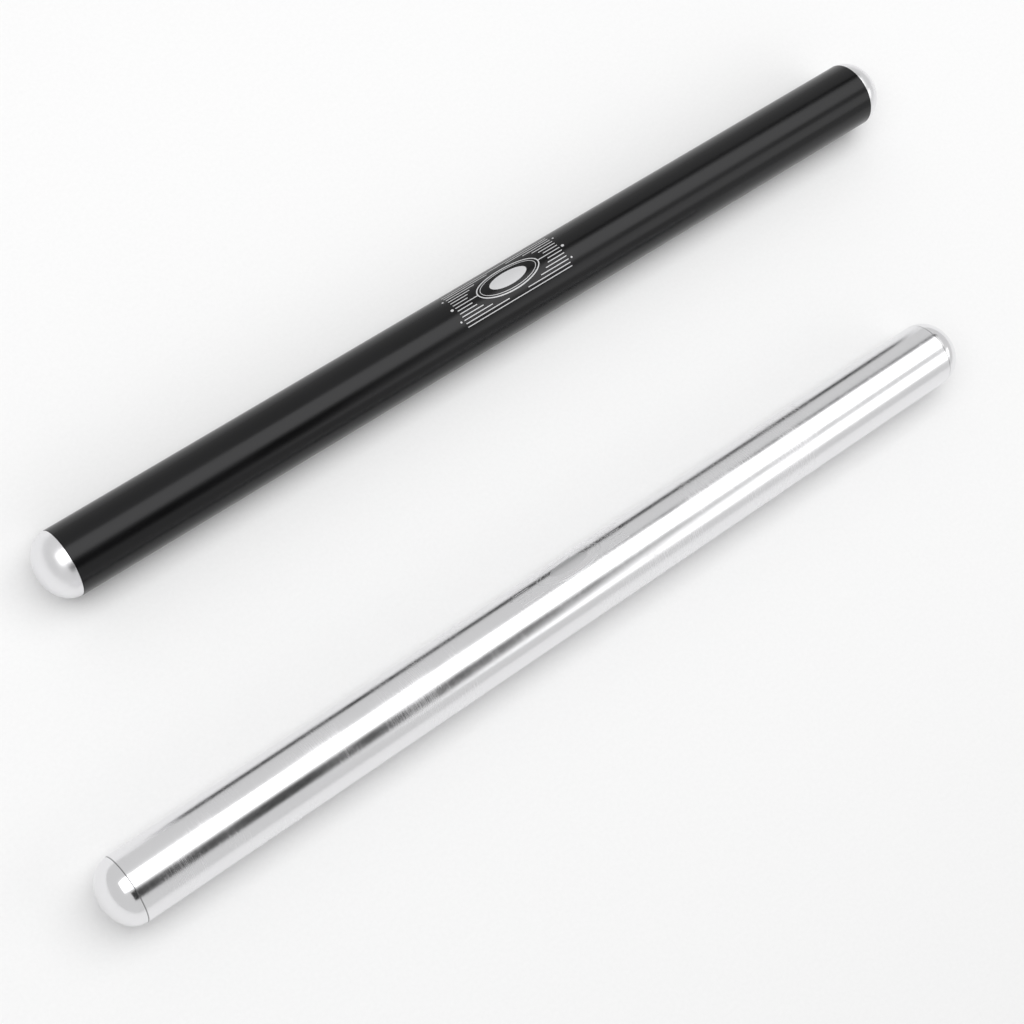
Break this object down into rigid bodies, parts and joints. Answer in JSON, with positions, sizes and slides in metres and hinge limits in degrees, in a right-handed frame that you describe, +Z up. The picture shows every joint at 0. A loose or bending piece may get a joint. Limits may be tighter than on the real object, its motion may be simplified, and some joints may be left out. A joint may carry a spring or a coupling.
{
  "type": "pair of stage sticks",
  "caption": "Matched pair of straight round stage sticks, one satin black and one polished metal, each a hollow tube with domed caps that unscrew.",
  "frame": {"origin": "on the floor under the middle of the pair, as the two sticks lie side by side", "axes": "+X along both sticks, +Y from the silver stick towards the black one, +Z up"},
  "size_m": [0.3398, 0.1012, 0.02],
  "materials": {
    "black_anodised": "satin black anodised tube",
    "polished_aluminium": "polished bare tube with fine lathe lines round it",
    "cap_aluminium": "turned and softly polished",
    "bush_brass": "machined",
    "seal_rubber": "moulded nitrile, dull"
  },
  "bodies": {
    "black_stick": {"black_tube": "black_anodised", "black_left_bush": "bush_brass", "black_right_bush": "bush_brass"},
    "black_left_ring": {"black_left_seal": "seal_rubber"},
    "black_left_end": {"black_left_cap": "cap_aluminium"},
    "black_right_ring": {"black_right_seal": "seal_rubber"},
    "black_right_end": {"black_right_cap": "cap_aluminium"},
    "silver_stick": {"silver_tube": "polished_aluminium", "silver_left_bush": "bush_brass", "silver_right_bush": "bush_brass"},
    "silver_left_ring": {"silver_left_seal": "seal_rubber"},
    "silver_left_end": {"silver_left_cap": "cap_aluminium"},
    "silver_right_ring": {"silver_right_seal": "seal_rubber"},
    "silver_right_end": {"silver_right_cap": "cap_aluminium"}
  },
  "joints": [
    {"name": "black_left_travel", "type": "slide", "parent": "black_stick", "child": "black_left_ring", "axis": [-1, 0, 0], "range_m": [0, 0.0106]},
    {"name": "black_left_unscrew", "type": "hinge", "parent": "black_left_ring", "child": "black_left_end", "pos_m": [-0.1279, 0.0406, 0.01], "axis": [-1, 0, 0], "range_deg": [0, 2160]},
    {"name": "black_right_travel", "type": "slide", "parent": "black_stick", "child": "black_right_ring", "axis": [1, 0, 0], "range_m": [0, 0.0106]},
    {"name": "black_right_unscrew", "type": "hinge", "parent": "black_right_ring", "child": "black_right_end", "pos_m": [0.1621, 0.0406, 0.01], "axis": [1, 0, 0], "range_deg": [0, 2160]},
    {"name": "silver_lift", "type": "slide", "parent": "black_stick", "child": "silver_stick", "axis": [0, 0, 1], "range_m": [0, 0.15]},
    {"name": "silver_left_travel", "type": "slide", "parent": "silver_stick", "child": "silver_left_ring", "axis": [-1, 0, 0], "range_m": [0, 0.0106]},
    {"name": "silver_left_unscrew", "type": "hinge", "parent": "silver_left_ring", "child": "silver_left_end", "pos_m": [-0.1621, -0.0406, 0.01], "axis": [-1, 0, 0], "range_deg": [0, 2160]},
    {"name": "silver_right_travel", "type": "slide", "parent": "silver_stick", "child": "silver_right_ring", "axis": [1, 0, 0], "range_m": [0, 0.0106]},
    {"name": "silver_right_unscrew", "type": "hinge", "parent": "silver_right_ring", "child": "silver_right_end", "pos_m": [0.1279, -0.0406, 0.01], "axis": [1, 0, 0], "range_deg": [0, 2160]}
  ],
  "couplings": [
    {"joint": "black_left_travel", "follows": "black_left_unscrew", "m_per_rad": 0.00027852},
    {"joint": "black_right_travel", "follows": "black_right_unscrew", "m_per_rad": 0.00027852},
    {"joint": "silver_left_travel", "follows": "silver_left_unscrew", "m_per_rad": 0.00027852},
    {"joint": "silver_right_travel", "follows": "silver_right_unscrew", "m_per_rad": 0.00027852}
  ]
}
